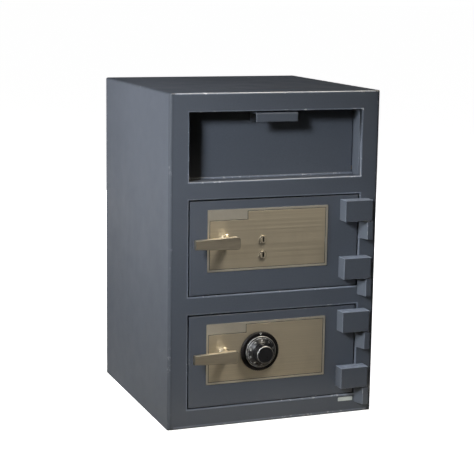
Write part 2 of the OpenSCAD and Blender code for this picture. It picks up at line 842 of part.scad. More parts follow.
lever_collar(LOWER);  // lower_lever_collar
dial_ring();
lever(LOWER);  // lower_lever
lever_spindle(LOWER);  // lower_lever_spindle
crank(LOWER);  // lower_crank
bolt_bar(LOWER);  // lower_bolt_bar
bolts(LOWER);  // lower_bolts
dial();
dial_spindle();
dial_wheels();
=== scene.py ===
import math

import bmesh
import bpy
from mathutils import Matrix, Vector


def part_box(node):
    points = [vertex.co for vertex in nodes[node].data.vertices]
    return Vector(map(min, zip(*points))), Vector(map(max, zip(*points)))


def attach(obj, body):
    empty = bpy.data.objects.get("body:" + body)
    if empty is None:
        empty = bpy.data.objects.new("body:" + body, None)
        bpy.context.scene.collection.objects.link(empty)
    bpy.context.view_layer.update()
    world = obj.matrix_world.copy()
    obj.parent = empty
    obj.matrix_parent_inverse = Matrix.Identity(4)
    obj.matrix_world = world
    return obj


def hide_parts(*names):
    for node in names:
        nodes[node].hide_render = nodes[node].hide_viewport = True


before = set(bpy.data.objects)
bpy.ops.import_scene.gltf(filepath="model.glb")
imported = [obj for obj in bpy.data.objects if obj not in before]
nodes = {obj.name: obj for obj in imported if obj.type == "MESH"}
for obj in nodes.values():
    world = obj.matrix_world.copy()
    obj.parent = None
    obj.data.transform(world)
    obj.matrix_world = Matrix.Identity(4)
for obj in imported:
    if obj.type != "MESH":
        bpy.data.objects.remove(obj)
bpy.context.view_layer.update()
scene = bpy.context.scene

MM = 0.001


# ---------------------------------------------------------------- node trees

class Finish:
    """One material: a Principled shader and short calls for the nodes that feed it."""

    def __init__(self, name, **values):
        self.material = bpy.data.materials.new(name)
        self.material.use_nodes = True
        self.tree = self.material.node_tree
        self.tree.nodes.clear()
        out = self.tree.nodes.new("ShaderNodeOutputMaterial")
        self.shader = self.tree.nodes.new("ShaderNodeBsdfPrincipled")
        self.tree.links.new(self.shader.outputs["BSDF"], out.inputs["Surface"])
        self.place = self.tree.nodes.new("ShaderNodeTexCoord").outputs["Object"]
        for socket, value in values.items():
            self.shader.inputs[socket.replace("_", " ")].default_value = value

    def put(self, socket, value):
        """Feeds an output, or a constant, to an input socket."""
        if isinstance(value, bpy.types.NodeSocket):
            self.tree.links.new(value, socket)
        elif isinstance(value, tuple) and len(value) == 3:
            socket.default_value = (*value, 1) if len(socket.default_value) == 4 else value
        else:
            socket.default_value = value

    def feed(self, socket, value):
        self.put(self.shader.inputs[socket], value)

    def noise(self, scale, detail=3.0, rough=0.5, stretch=(1, 1, 1)):
        mapping = self.tree.nodes.new("ShaderNodeMapping")
        mapping.inputs["Scale"].default_value = stretch
        self.put(mapping.inputs["Vector"], self.place)
        node = self.tree.nodes.new("ShaderNodeTexNoise")
        self.put(node.inputs["Vector"], mapping.outputs["Vector"])
        node.inputs["Scale"].default_value = scale
        node.inputs["Detail"].default_value = detail
        node.inputs["Roughness"].default_value = rough
        return node.outputs["Fac"]

    def span(self, value, low, high, to_low=0.0, to_high=1.0, smooth=False):
        """Maps the range low to high onto to_low to to_high."""
        node = self.tree.nodes.new("ShaderNodeMapRange")
        node.interpolation_type = "SMOOTHSTEP" if smooth else "LINEAR"
        for socket, number in (("Value", value), ("From Min", low), ("From Max", high),
                               ("To Min", to_low), ("To Max", to_high)):
            self.put(node.inputs[socket], number)
        return node.outputs["Result"]

    def blend(self, share, first, second):
        node = self.tree.nodes.new("ShaderNodeMix")
        node.data_type = "RGBA"
        self.put(node.inputs["Factor"], share)
        self.put(node.inputs["A"], first)
        self.put(node.inputs["B"], second)
        return node.outputs["Result"]

    def compute(self, operation, first, second):
        node = self.tree.nodes.new("ShaderNodeMath")
        node.operation = operation
        self.put(node.inputs[0], first)
        self.put(node.inputs[1], second)
        return node.outputs["Value"]

    def split(self, vector):
        """The X, Y and Z outputs of a vector."""
        node = self.tree.nodes.new("ShaderNodeSeparateXYZ")
        self.put(node.inputs["Vector"], vector)
        return node.outputs

    def bump(self, height, depth, strength, below=None):
        """A normal for relief that is depth metres high, over the relief of the normal below."""
        node = self.tree.nodes.new("ShaderNodeBump")
        node.inputs["Strength"].default_value = strength
        node.inputs["Distance"].default_value = depth
        self.put(node.inputs["Height"], height)
        if below is not None:
            self.put(node.inputs["Normal"], below)
        return node.outputs["Normal"]


def lighter(colour, factor):
    return tuple(min(1.0, c * factor) for c in colour)


# ---------------------------------------------------------------- materials

PAINT = (0.058, 0.066, 0.082)
BARE_STEEL = (0.40, 0.41, 0.43)
# Painted shade on the edges near the sides: how wide it fades in, how much of the wear stays, and
# how much darker the coat is
SIDE_SHADE_FADE = 0.003
SIDE_SHADE_WEAR = 0.25
SIDE_SHADE_TONE = 0.78


def paint(name, chips=0.0, highlight_share=0.6, highlight_lift=3.0, side_shade_from=None, top_highlight=0.0):
    """Dark blue-grey powder coat with a fine orange peel.

    chips is how far bare spots of wear spread over an edge. highlight_share is the share by which
    the edge turns to a tone that is highlight_lift times lighter: a painted highlight along the
    rounded edges. Past side_shade_from, the distance from the middle to the left or right, the
    edge has less wear, no painted highlight and a darker tone: a painted shade. top_highlight is
    how many times lighter the coat is painted on faces that look up: a painted highlight.
    """
    m = Finish(name, Specular_IOR_Level=0.32)
    cloud = m.noise(3.2, 4.0)
    grain = m.noise(260.0, 3.0, 0.6)
    tone = m.blend(m.span(cloud, 0.35, 0.65), lighter(PAINT, 0.93), lighter(PAINT, 1.07))
    tone = m.blend(m.span(grain, 0.3, 0.7), tone, lighter(PAINT, 1.1))
    rough = m.span(m.noise(14.0, 4.0), 0.3, 0.7, 0.40, 0.50)
    if chips:
        spots = m.span(m.noise(95.0, 5.0, 0.65), 0.56, 0.64, smooth=True)
        patches = m.span(m.noise(9.0, 2.0), 0.5 - chips / 2, 0.62, smooth=True)
        worn = m.compute("MULTIPLY", spots, patches)
        # Near the sides the edge is painted darker, a painted shade, and keeps little wear and no
        # painted highlight
        if side_shade_from:
            off_middle = m.compute("ABSOLUTE", m.split(m.place)["X"], 0.0)
            side_shade = (off_middle, side_shade_from, side_shade_from + SIDE_SHADE_FADE)
            highlight_share = m.span(*side_shade, highlight_share, 0.0)
            worn = m.compute("MULTIPLY", worn, m.span(*side_shade, 1.0, SIDE_SHADE_WEAR))
            tone = m.blend(m.span(*side_shade), tone, lighter(PAINT, SIDE_SHADE_TONE))
        # The edge is lifted towards a lighter tone, a painted highlight; the bare spots over it
        # are wear
        tone = m.blend(worn, m.blend(highlight_share, tone, lighter(PAINT, highlight_lift)), BARE_STEEL)
        polish = m.compute("ADD", 0.08, m.compute("MULTIPLY", worn, 0.08))
        rough = m.compute("SUBTRACT", rough, polish)
    # Faces that look up are painted lighter in patches: a painted highlight
    if top_highlight:
        normal = m.tree.nodes.new("ShaderNodeNewGeometry").outputs["Normal"]
        looks_up = m.span(m.split(normal)["Z"], 0.4, 0.8)
        highlight_patches = m.span(m.noise(90.0, 4.0, 0.6), 0.35, 0.65, 0.45, 1.0)
        tone = m.blend(m.compute("MULTIPLY", looks_up, highlight_patches), tone, lighter(PAINT, top_highlight))
    peel = m.bump(m.noise(420.0, 2.0, 0.45), 0.0001, 0.55)
    m.feed("Base Color", tone)
    m.feed("Roughness", rough)
    m.feed("Normal", m.bump(m.noise(34.0, 2.0), 0.0003, 0.18, peel))
    return m.material


def brushed(name, colour, rough, along, spread, aniso=0.55):
    """Brushed metal: streaks along X, as fine across it as along says, with a little tarnish."""
    m = Finish(name, Metallic=1.0, Anisotropic=aniso, Anisotropic_Rotation=0.25)
    fine = m.noise(1.0, 3.0, 0.55, stretch=along)
    wide = m.noise(1.0, 2.0, 0.5, stretch=tuple(scale * 0.22 for scale in along))
    tarnish = m.noise(22.0, 4.0, 0.6)
    streak = m.compute("ADD", m.compute("MULTIPLY", fine, 0.6), m.compute("MULTIPLY", wide, 0.4))
    tone = m.blend(m.span(streak, 0.35, 0.65), lighter(colour, 1 - spread),
                   lighter(colour, 1 + spread))
    tone = m.blend(m.span(tarnish, 0.5, 0.85, 0.0, 0.35), tone, lighter(colour, 0.75))
    m.feed("Base Color", tone)
    m.feed("Roughness", m.span(streak, 0.3, 0.7, rough - 0.04, rough + 0.05))
    m.feed("Normal", m.bump(streak, 0.00004, 0.4))
    return m.material


def metal(name, colour, rough, mottle=12.0):
    """Plain metal with a fine grain and uneven tone."""
    m = Finish(name, Metallic=1.0)
    cloud = m.noise(mottle, 4.0, 0.6)
    m.feed("Base Color", m.blend(m.span(cloud, 0.35, 0.65), lighter(colour, 0.88),
                                 lighter(colour, 1.08)))
    m.feed("Roughness", m.span(cloud, 0.3, 0.7, rough + 0.07, rough - 0.05))
    m.feed("Normal", m.bump(m.noise(400.0, 3.0), 0.00003, 0.5))
    return m.material


def plastic(name, colour, rough, grain=500.0, sheen=0.5):
    """Non-metal finish with a fine grain: enamel, ink or rubber."""
    m = Finish(name, Specular_IOR_Level=sheen)
    cloud = m.noise(60.0, 4.0)
    m.feed("Base Color", m.blend(m.span(cloud, 0.3, 0.7), lighter(colour, 0.85),
                                 lighter(colour, 1.15)))
    m.feed("Roughness", m.span(cloud, 0.3, 0.7, rough - 0.05, rough + 0.08))
    m.feed("Normal", m.bump(m.noise(grain, 2.0), 0.00004, 0.5))
    return m.material


NICKEL = (0.72, 0.662, 0.55)

look = {
    "paint": paint("paint_grey"),
    # Hinge blocks: tops with a painted highlight
    "paint_block": paint("paint_grey_top_highlight", top_highlight=4.4),
    # Rounded edges: chips of wear over a painted highlight
    "paint_edge": paint("paint_grey_wear_and_highlight", chips=0.30),
    # Frame edges: a painted highlight, and a painted shade on the edges near the sides
    "paint_shell_edge": paint("paint_grey_frame_edge", chips=0.16, highlight_share=0.7, highlight_lift=2.8,
                              side_shade_from=0.240),
    # Hinge block edges: chips of wear over a strong painted highlight
    "paint_chips_and_highlight": paint("paint_grey_chips_and_highlight", chips=0.55, highlight_share=1.0, highlight_lift=5.5),
    "paint_plain_edge": paint("paint_grey_plain_edge", chips=0.12, highlight_share=0.0),
    "nickel": brushed("nickel_brushed", NICKEL, 0.36, along=(2.0, 300.0, 1300.0), spread=0.06),
    "nickel_edge": metal("nickel_edge", lighter(NICKEL, 1.1), 0.30),
    "nickel_rim": metal("nickel_rim", (0.83, 0.79, 0.70), 0.42),
    "lever": brushed("nickel_satin", (0.62, 0.565, 0.47), 0.36, along=(30.0, 300.0, 500.0),
                     spread=0.07, aniso=0.3),
    # Lever edges: a dark copy of the lever's metal, a painted shade along the rounded edges
    "lever_shaded_edge": metal("nickel_satin_shaded_edge", (0.15, 0.14, 0.12), 0.50),
    "steel": metal("steel_bare", (0.50, 0.51, 0.52), 0.32),
    "zinc": metal("zinc_plate", (0.55, 0.56, 0.55), 0.36, mottle=70.0),
    "bronze": metal("bronze_plain", (0.50, 0.33, 0.15), 0.35),
    "enamel": plastic("enamel_black", (0.008, 0.008, 0.009), 0.30, sheen=0.35),
    "ring_black": plastic("ring_black", (0.006, 0.005, 0.005), 0.46, sheen=0.14),
    # Black fill of the faceplates' engraving, and painted shade on the rims of the key noses
    "ink_and_shade": plastic("engraving_black_and_shade", (0.015, 0.014, 0.012), 0.5),
    "white": plastic("marking_white", (0.86, 0.85, 0.82), 0.45),
    "dial_mark": plastic("dial_mark", (0.46, 0.46, 0.45), 0.45),
    "silver": metal("line_silver", (0.50, 0.50, 0.50), 0.50),
    "tag": plastic("tag_pale", (0.38, 0.42, 0.42), 0.40),
    "rubber": plastic("rubber_black", (0.022, 0.022, 0.022), 0.7, grain=300.0),
}


# ---------------------------------------------------------------- mesh helpers

WELD_WITHIN = 0.01 * MM
FLAT_WITHIN = math.radians(0.5)
SHARP_FROM = math.radians(30)
EDGE_SLOT = 1


def soften(obj, width, segments=2, weld=True):
    """Rounds a piece's sharp edges, width in mm, and gives the rounding the second material."""
    if weld:
        join = obj.modifiers.new("join_corners", "WELD")
        join.merge_threshold = WELD_WITHIN
        flat = obj.modifiers.new("merge_flat_faces", "DECIMATE")
        flat.decimate_type = "DISSOLVE"
        flat.angle_limit = FLAT_WITHIN
    bevel = obj.modifiers.new("round_edges", "BEVEL")
    bevel.width = width * MM
    bevel.segments = segments
    bevel.limit_method = "ANGLE"
    bevel.angle_limit = SHARP_FROM
    bevel.material = EDGE_SLOT
    bevel.use_clamp_overlap = True
    shade = obj.modifiers.new("even_normals", "WEIGHTED_NORMAL")
    shade.keep_sharp = False


def dress(names, face, edge, width, segments=2):
    """Gives CAD nodes their finish and rounds their edges."""
    for name in names:
        obj = nodes[name]
        obj.data.materials.clear()
        obj.data.materials.append(look[face])
        obj.data.materials.append(look[edge])
        soften(obj, width, segments)


def plain_mesh(name, verts, faces):
    mesh = bpy.data.meshes.new(name)
    mesh.from_pydata(verts, [], faces)
    mesh.update()
    return mesh


def add_piece(name, mesh, body, mats, stands_for):
    """A piece of the scene that rides on a body, and replaces the nodes that it stands for."""
    obj = bpy.data.objects.new(name, mesh)
    scene.collection.objects.link(obj)
    for key in mats:
        mesh.materials.append(look[key])
    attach(obj, body)
    if stands_for:
        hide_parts(*stands_for)
    return obj


def smooth_piece(name, verts, faces, body, mats, stands_for=()):
    """One piece from corner points and faces, to be rounded by soften."""
    mesh = plain_mesh(name, verts, faces)
    for polygon in mesh.polygons:
        polygon.use_smooth = True
    return add_piece(name, mesh, body, mats, stands_for)


def cell_solid(xs, ys, zs, filled):
    """Corner points and faces of the closed skin round the filled cells of a grid."""
    counts = (len(xs) - 1, len(ys) - 1, len(zs) - 1)

    def inside(cell):
        if any(not 0 <= c < n for c, n in zip(cell, counts)):
            return False
        i, j, k = cell
        return filled((xs[i] + xs[i + 1]) / 2, (ys[j] + ys[j + 1]) / 2, (zs[k] + zs[k + 1]) / 2)

    index, faces = {}, []
    sides = {
        (-1, 0, 0): ((0, 0, 0), (0, 0, 1), (0, 1, 1), (0, 1, 0)),
        (1, 0, 0): ((1, 0, 0), (1, 1, 0), (1, 1, 1), (1, 0, 1)),
        (0, -1, 0): ((0, 0, 0), (1, 0, 0), (1, 0, 1), (0, 0, 1)),
        (0, 1, 0): ((0, 1, 0), (0, 1, 1), (1, 1, 1), (1, 1, 0)),
        (0, 0, -1): ((0, 0, 0), (0, 1, 0), (1, 1, 0), (1, 0, 0)),
        (0, 0, 1): ((0, 0, 1), (1, 0, 1), (1, 1, 1), (0, 1, 1)),
    }
    for i in range(counts[0]):
        for j in range(counts[1]):
            for k in range(counts[2]):
                if not inside((i, j, k)):
                    continue
                for step, corners in sides.items():
                    if inside((i + step[0], j + step[1], k + step[2])):
                        continue
                    faces.append([index.setdefault((i + a, j + b, k + c), len(index))
                                  for a, b, c in corners])
    return [(xs[i], ys[j], zs[k]) for i, j, k in index], faces


def drawn_mesh(name, curve):
    """Mesh of a curve or text, drawn in the XY plane."""
    holder = bpy.data.objects.new(name, curve)
    scene.collection.objects.link(holder)
    bpy.context.view_layer.update()
    graph = bpy.context.evaluated_depsgraph_get()
    mesh = bpy.data.meshes.new_from_object(holder.evaluated_get(graph))
    bpy.data.objects.remove(holder)
    return mesh


def sheet_mesh(name, loops, y0, y1, edge=0.0):
    """Mesh of a plate that faces the front, from y0 back to y1, its front and back edges bevelled.

    The outlines of X and Z include the holes, which run the other way round.
    """
    curve = bpy.data.curves.new(name, "CURVE")
    curve.dimensions = "2D"
    curve.fill_mode = "BOTH"
    for loop in loops:
        spline = curve.splines.new("POLY")
        spline.points.add(len(loop) - 1)
        spline.use_cyclic_u = True
        for point, (x, z) in zip(spline.points, loop):
            point.co = (x, z, 0, 1)
    curve.extrude = (y1 - y0) / 2 - edge
    curve.bevel_depth = edge
    curve.bevel_resolution = 1
    curve.offset = -edge
    mesh = drawn_mesh(name, curve)
    upright = Matrix.Rotation(math.radians(90), 4, "X")
    mesh.transform(Matrix.Translation((0, (y0 + y1) / 2, 0)) @ upright)
    return mesh


CORNER_STEPS = 5
HOLE_STEPS = 48


def round_rectangle(x0, z0, x1, z1, r):
    """Outline with corners of radius r."""
    points = []
    for cx, cz, start in ((x1 - r, z0 + r, -90), (x1 - r, z1 - r, 0), (x0 + r, z1 - r, 90),
                          (x0 + r, z0 + r, 180)):
        for s in range(CORNER_STEPS + 1):
            a = math.radians(start + 90 * s / CORNER_STEPS)
            points.append((cx + r * math.cos(a), cz + r * math.sin(a)))
    return points


def hole(x, z, r):
    """A round hole's outline, which runs the other way round."""
    turns = [-2 * math.pi * s / HOLE_STEPS for s in range(HOLE_STEPS)]
    return [(x + r * math.cos(a), z + r * math.sin(a)) for a in turns]


def joined_piece(name, parts, body, mats, stands_for=(), smooth=False):
    """One piece from several meshes, each with the index of its material."""
    bm = bmesh.new()
    for mesh, number in parts:
        first = len(bm.faces)
        bm.from_mesh(mesh)
        bm.faces.ensure_lookup_table()
        for face in bm.faces[first:]:
            face.material_index = number
            face.smooth = smooth
    mesh = bpy.data.meshes.new(name)
    bm.to_mesh(mesh)
    bm.free()
    return add_piece(name, mesh, body, mats, stands_for)


def lathe_mesh(name, profile, centre, steps, ripple=None):
    """Mesh turned round an axis that points to the front.

    profile holds pairs of radius and height in mm, and ripple(n, s) is added to the radius of its
    point n at step s of the turn.
    """
    cx, cy, cz = centre
    verts, faces = [], []
    for n, (r, out) in enumerate(profile):
        for s in range(steps):
            a = 2 * math.pi * s / steps
            radius = (r + (ripple(n, s) if ripple else 0.0)) * MM
            verts.append((cx + radius * math.sin(a), cy - out * MM, cz + radius * math.cos(a)))
    for n in range(len(profile) - 1):
        for s in range(steps):
            t = (s + 1) % steps
            faces.append((n * steps + s, n * steps + t, (n + 1) * steps + t, (n + 1) * steps + s))
    return plain_mesh(name, verts, faces)


# ---------------------------------------------------------------- cabinet

side_lo, side_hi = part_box("side_plate_left")
stile_lo, stile_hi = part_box("frame_stile_left")
back_lo, back_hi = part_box("back_plate")
rails = [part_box(n) for n in ("frame_bottom_rail", "frame_middle_rail", "frame_hopper_rail",
                             "frame_top_rail")]

outer_x, inner_x, open_x = -side_lo.x, -side_hi.x, -stile_hi.x
front_y, frame_back_y = stile_lo.y, stile_hi.y
back_in_y, back_y = back_lo.y, back_hi.y
top_in_z, top_z = back_hi.z, side_hi.z


def shell_filled(x, y, z):
    """Whether the skin of the cabinet holds this point: frame, sides, top or back."""
    if y < frame_back_y:
        return abs(x) > open_x or any(lo.z < z < hi.z for lo, hi in rails)
    if abs(x) > inner_x or z > top_in_z:
        return True
    return y > back_in_y and z > back_lo.z


shell_xs = [-outer_x, -inner_x, -open_x, open_x, inner_x, outer_x]
shell_ys = [front_y, frame_back_y, back_in_y, back_y]
shell_zs = sorted({0.0, back_lo.z, top_in_z, *[v for lo, hi in rails for v in (lo.z, hi.z)]})
verts, faces = cell_solid(shell_xs, shell_ys, shell_zs, shell_filled)
shell = smooth_piece("welded_shell", verts, faces, "cabinet",
                     ["paint", "paint_shell_edge"],
                     ["side_plate_left", "side_plate_right", "top_plate", "back_plate",
                      "frame_stile_left", "frame_stile_right", "frame_top_rail",
                      "frame_hopper_rail", "frame_middle_rail", "frame_bottom_rail"])

# Radii in mm of the shell's outer edges
FRONT_UPRIGHT_R, TOP_FRONT_R, TOP_R, FRONT_R = 8.5, 4.2, 4.0, 3.2
BACK_UPRIGHT_R, OTHER_R, FOOT_R = 1.5, 1.0, 0.5
TOUCH = 1e-6
LEAST_FOLD = 0.1


def shell_radius(a, b):
    """Radius of the rounding on the shell's edge from corner a to corner b."""
    def both(axis, value):
        return all(abs(abs(end[axis]) - value) < TOUCH for end in (a, b))

    at_front = all(abs(end.y - front_y) < TOUCH for end in (a, b))
    if both(0, outer_x) and at_front:
        return FRONT_UPRIGHT_R
    if both(2, top_z):
        return TOP_FRONT_R if at_front else TOP_R
    if both(0, outer_x) and both(1, back_y):
        return BACK_UPRIGHT_R
    if both(2, 0.0):
        return FOOT_R
    return FRONT_R if at_front else OTHER_R


bm = bmesh.new()
bm.from_mesh(shell.data)
bmesh.ops.dissolve_limit(bm, angle_limit=0.01, verts=bm.verts[:], edges=bm.edges[:])
weight = bm.edges.layers.float.new("bevel_weight_edge")
for edge in bm.edges:
    if edge.calc_face_angle_signed(0.0) > LEAST_FOLD:
        edge[weight] = shell_radius(edge.verts[0].co, edge.verts[1].co) / FRONT_UPRIGHT_R
bm.to_mesh(shell.data)
bm.free()
soften(shell, FRONT_UPRIGHT_R, 5, weld=False)
shell.modifiers["round_edges"].limit_method = "WEIGHT"

# Lip at the back of the sill, just in front of the hopper's panel
panel_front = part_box("hopper_panel")[0].y
sill_top = rails[2][1].z
lip_end_x = open_x - 0.0005
lip_front, lip_back = panel_front - 0.0034, panel_front - 0.0012
lip_sunk, lip_top = sill_top - 0.0005, sill_top + 0.0036
verts, faces = cell_solid([-lip_end_x, lip_end_x], [lip_front, lip_back], [lip_sunk, lip_top],
                          lambda x, y, z: True)
# The whole lip takes the edge paint: chips of wear over a painted highlight
lip = smooth_piece("sill_lip", verts, faces, "cabinet", ["paint_edge", "paint_edge"])
soften(lip, 0.9, 3, weld=False)

# Bare tag on the bottom rail
tag_outline = round_rectangle(0.1672, 0.0308, 0.2043, 0.0400, 0.0018)
tag_thick, tag_edge = 0.0006, 0.00012
tag_mesh = sheet_mesh("tag", [tag_outline], front_y - tag_thick, front_y, tag_edge)
joined_piece("bare_tag", [(tag_mesh, 0)], "cabinet", ["tag"])


# ---------------------------------------------------------------- carried-over CAD nodes

dress(["bottom_plate", "compartment_shelf", "recess_jamb_left", "recess_jamb_right",
       "recess_sill", "recess_header", "hopper_panel", "hopper_cheeks", "hopper_tray"],
      "paint", "paint_edge", 0.7)
dress(["hopper_grip"], "paint", "paint_edge", 0.8, 3)
# Hinge blocks: a painted highlight on their tops and their rounded edges, with chips of wear
dress(["upper_hinge_blocks", "lower_hinge_blocks"], "paint_block", "paint_chips_and_highlight", 2.2, 3)
dress(["hinge_barrels"], "paint", "paint_edge", 1.2, 3)
dress(["upper_door_plate", "lower_door_plate"], "paint", "paint_plain_edge", 0.5)
# Levers: their rounded edges are painted dark, a painted shade
dress(["upper_lever", "lower_lever"], "lever", "lever_shaded_edge", 0.8, 3)
dress(["upper_lever_collar", "lower_lever_collar"], "lever", "nickel_edge", 0.6)
dress(["upper_lever_spindle", "lower_lever_spindle"], "lever", "nickel_edge", 0.4)
dress(["fishing_baffle", "hinge_pins", "hopper_stops", "hopper_pivot_pins", "grip_screws",
       "dial_spindle", "upper_dead_bar", "lower_dead_bar"], "steel", "steel", 0.4)
dress(["upper_bolts", "lower_bolts"], "steel", "steel", 1.2, 3)
dress(["upper_bolt_bar", "lower_bolt_bar", "upper_bolt_guide", "lower_bolt_guide",
       "upper_crank", "lower_crank", "upper_lock_case", "lower_lock_case", "upper_lock_cover",
       "lower_lock_cover"], "zinc", "zinc", 0.5)
dress(["hopper_bushes", "dial_wheels"], "bronze", "bronze", 0.3)
dress(["hopper_bumpers"], "rubber", "rubber", 0.8)
# Key noses: their rounded rims are black, a painted shade round each nose
dress(["key_nose_top", "key_nose_bottom"], "nickel", "ink_and_shade", 1.1)


# ---------------------------------------------------------------- faceplates

RIM, GROOVE = 4.6 * MM, 1.5 * MM
PAD_WIDE, PAD_TALL = 95 * MM, 23.7 * MM
GROOVE_DEEP, PLATE_EDGE = 0.45 * MM, 0.1 * MM
PLATE_CORNER_R = 2.0 * MM
BORE_PLAY = 0.0003
SPINDLE_BORE_R = 0.0083


def faceplate(which, body, bores):
    """Satin plate with a raised rim, an inked groove and a bare label pad."""
    lo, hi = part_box(which + "_faceplate")
    x0, z0, x1, z1 = lo.x, lo.z, hi.x, hi.z
    pad_x, pad_z = x0 + PAD_WIDE, z1 - PAD_TALL
    step = lo.y + GROOVE_DEEP

    def field_outline(inset, notch):
        """Outline inside the rim that leaves out the label pad."""
        return [(x0 + inset, z0 + inset), (x1 - inset, z0 + inset), (x1 - inset, z1 - inset),
                (pad_x + notch, z1 - inset), (pad_x + notch, pad_z - notch),
                (x0 + inset, pad_z - notch)]

    outer = round_rectangle(x0, z0, x1, z1, PLATE_CORNER_R)
    holes = [hole(x, z, r) for x, z, r in bores]
    base = sheet_mesh("base", [outer] + holes, step, hi.y)
    edge = sheet_mesh("rim", [outer, field_outline(RIM, 0.0)[::-1]], lo.y, step, PLATE_EDGE)
    field = sheet_mesh("field", [field_outline(RIM + GROOVE, GROOVE)] + holes, lo.y, step,
                       PLATE_EDGE)
    joined_piece(which + "_faceplate_engraved", [(base, 1), (edge, 2), (field, 0)], body,
                 ["nickel", "ink_and_shade", "nickel_rim"], [which + "_faceplate"])


def bore_of(node):
    """Place and radius of a round node's bore through a plate."""
    lo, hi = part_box(node)
    return ((lo.x + hi.x) / 2, (lo.z + hi.z) / 2, (hi.x - lo.x) / 2 + BORE_PLAY)


def spindle_bore(which):
    """Place and radius of the bore behind a lever's collar."""
    lo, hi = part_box(which + "_lever_collar")
    return ((lo.x + hi.x) / 2, (lo.z + hi.z) / 2, SPINDLE_BORE_R)


faceplate("upper", "upper_door", [spindle_bore("upper"), bore_of("key_nose_top"),
                                  bore_of("key_nose_bottom")])
faceplate("lower", "lower_door", [spindle_bore("lower"), bore_of("dial_spindle")])


# ---------------------------------------------------------------- dial

ring_lo, ring_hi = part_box("dial_ring")
dial_lo, dial_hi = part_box("dial")
dial_centre = ((ring_lo.x + ring_hi.x) / 2, ring_hi.y, (ring_lo.z + ring_hi.z) / 2)
dial_place = (dial_centre[0], dial_hi.y, dial_centre[2])

# The radii and the profiles are in mm: each point's radius, then its height above the piece's back
ring_r = (ring_hi.x - ring_lo.x) / 2 / MM
dial_r = (dial_hi.x - dial_lo.x) / 2 / MM
front = (dial_hi.y - dial_lo.y) / MM
SPINDLE_HOLE_R = 4.3
KNOB_R = 20.0
CONE_FOOT, CONE_TOP = (33.5, 8.9), (24.5, 15.4)

ring_profile = [(SPINDLE_HOLE_R, 0), (ring_r - 1.2, 0), (ring_r - 0.6, 0.6), (ring_r, 1.4),
                (ring_r, 5.6), (ring_r - 0.8, 6.6), (ring_r - 2.2, 7.6), (ring_r - 3.5, 8.0),
                (dial_r + 2.6, 8.0), (dial_r + 1.6, 7.4), (dial_r + 1.5, 3.0),
                (SPINDLE_HOLE_R, 3.0), (SPINDLE_HOLE_R, 0)]
dial_profile = [(0.01, 0), (dial_r - 0.8, 0), (dial_r, 0.8), (dial_r, 6.7), (dial_r - 0.8, 7.5),
                CONE_FOOT, CONE_TOP, (23.2, 16.5), (KNOB_R + 0.6, 16.6), (KNOB_R, 17.4),
                (KNOB_R, front - 3.0), (19.8, front - 1.6), (19.0, front - 0.6),
                (18.2, front - 0.5), (17.8, front - 1.1), (16.8, front - 1.1),
                (16.4, front - 0.3), (15.2, front), (0.01, front)]
knob_line = [(19.6, front - 1.1), (19.2, front - 0.45), (18.7, front - 0.4)]
rim_line = [(dial_r - 1.2, 7.62), (dial_r - 0.7, 7.75), (dial_r - 0.1, 7.2)]


def ring_ripple(n, s):
    """Knurls on the ring's outer wall."""
    return -0.9 if ring_profile[n][0] == ring_r and (s // 3) % 2 else 0.0


def dial_ripple(n, s):
    """Flutes on the knob's wall and fine knurls on the dial's."""
    if dial_profile[n][0] == KNOB_R:
        return -0.9 if (s // 2) % 3 == 0 else 0.0
    if dial_profile[n][0] == dial_r:
        return -0.35 if s % 2 else 0.0
    return 0.0


ring_mesh = lathe_mesh("ring", ring_profile, dial_centre, 360, ring_ripple)
joined_piece("dial_ring_knurled", [(ring_mesh, 0)], "lower_door", ["ring_black"],
             ["dial_ring"])
dial_mesh = lathe_mesh("dial", dial_profile, dial_place, 300, dial_ripple)
joined_piece("dial_detailed", [(dial_mesh, 0)], "dial", ["enamel"], ["dial"])
joined_piece("dial_bright_lines",
             [(lathe_mesh("line", line, dial_place, 160), 0) for line in (knob_line, rim_line)],
             "dial", ["silver"], smooth=True)

# Graduations and numbers lie on the dial's cone
cone_low, cone_high = Vector(CONE_FOOT) * MM, Vector(CONE_TOP) * MM
TICKS, FIGURES = 100, 10
MARK_WIDE, MARK_ABOVE = 0.5 * MM, 0.06 * MM
FIGURE_SIZE, FIGURE_SHARE = 5.6 * MM, 0.60


def on_cone(angle, share, width, length):
    """Matrix that lays a flat mark on the cone, its top towards the rim. share is 0 at the rim."""
    place = cone_low.lerp(cone_high, share)
    out = Vector((math.sin(angle), 0, math.cos(angle)))
    forward = Vector((0, -1, 0))
    slope = (cone_low - cone_high).normalized()
    up = (out * slope.x + forward * slope.y).normalized()
    across = Vector((math.cos(angle), 0, -math.sin(angle)))
    normal = across.cross(up)
    spot = Vector(dial_place) + out * place.x + forward * place.y + normal * MARK_ABOVE
    return Matrix((
        (across.x * width, up.x * length, normal.x, spot.x),
        (across.y * width, up.y * length, normal.y, spot.y),
        (across.z * width, up.z * length, normal.z, spot.z),
        (0, 0, 0, 1)))


marks = bmesh.new()
for tick in range(TICKS):
    long = 3.4 if tick % 10 == 0 else 2.6 if tick % 5 == 0 else 1.9
    lay = on_cone(2 * math.pi * tick / TICKS, 0.02 + long / 24, MARK_WIDE, long * MM)
    grid = bmesh.ops.create_grid(marks, x_segments=1, y_segments=1, size=0.5)
    bmesh.ops.transform(marks, matrix=lay, verts=grid["verts"])
for tens in range(FIGURES):
    text = bpy.data.curves.new("figure", "FONT")
    text.body = str(tens * 10)
    text.align_x = "CENTER"
    text.align_y = "CENTER"
    figure = drawn_mesh("figure", text)
    figure.transform(on_cone(2 * math.pi * tens / FIGURES, FIGURE_SHARE, FIGURE_SIZE, FIGURE_SIZE))
    marks.from_mesh(figure)
marks_mesh = bpy.data.meshes.new("marks")
marks.to_mesh(marks_mesh)
marks.free()
joined_piece("dial_markings", [(marks_mesh, 0)], "dial", ["dial_mark"])

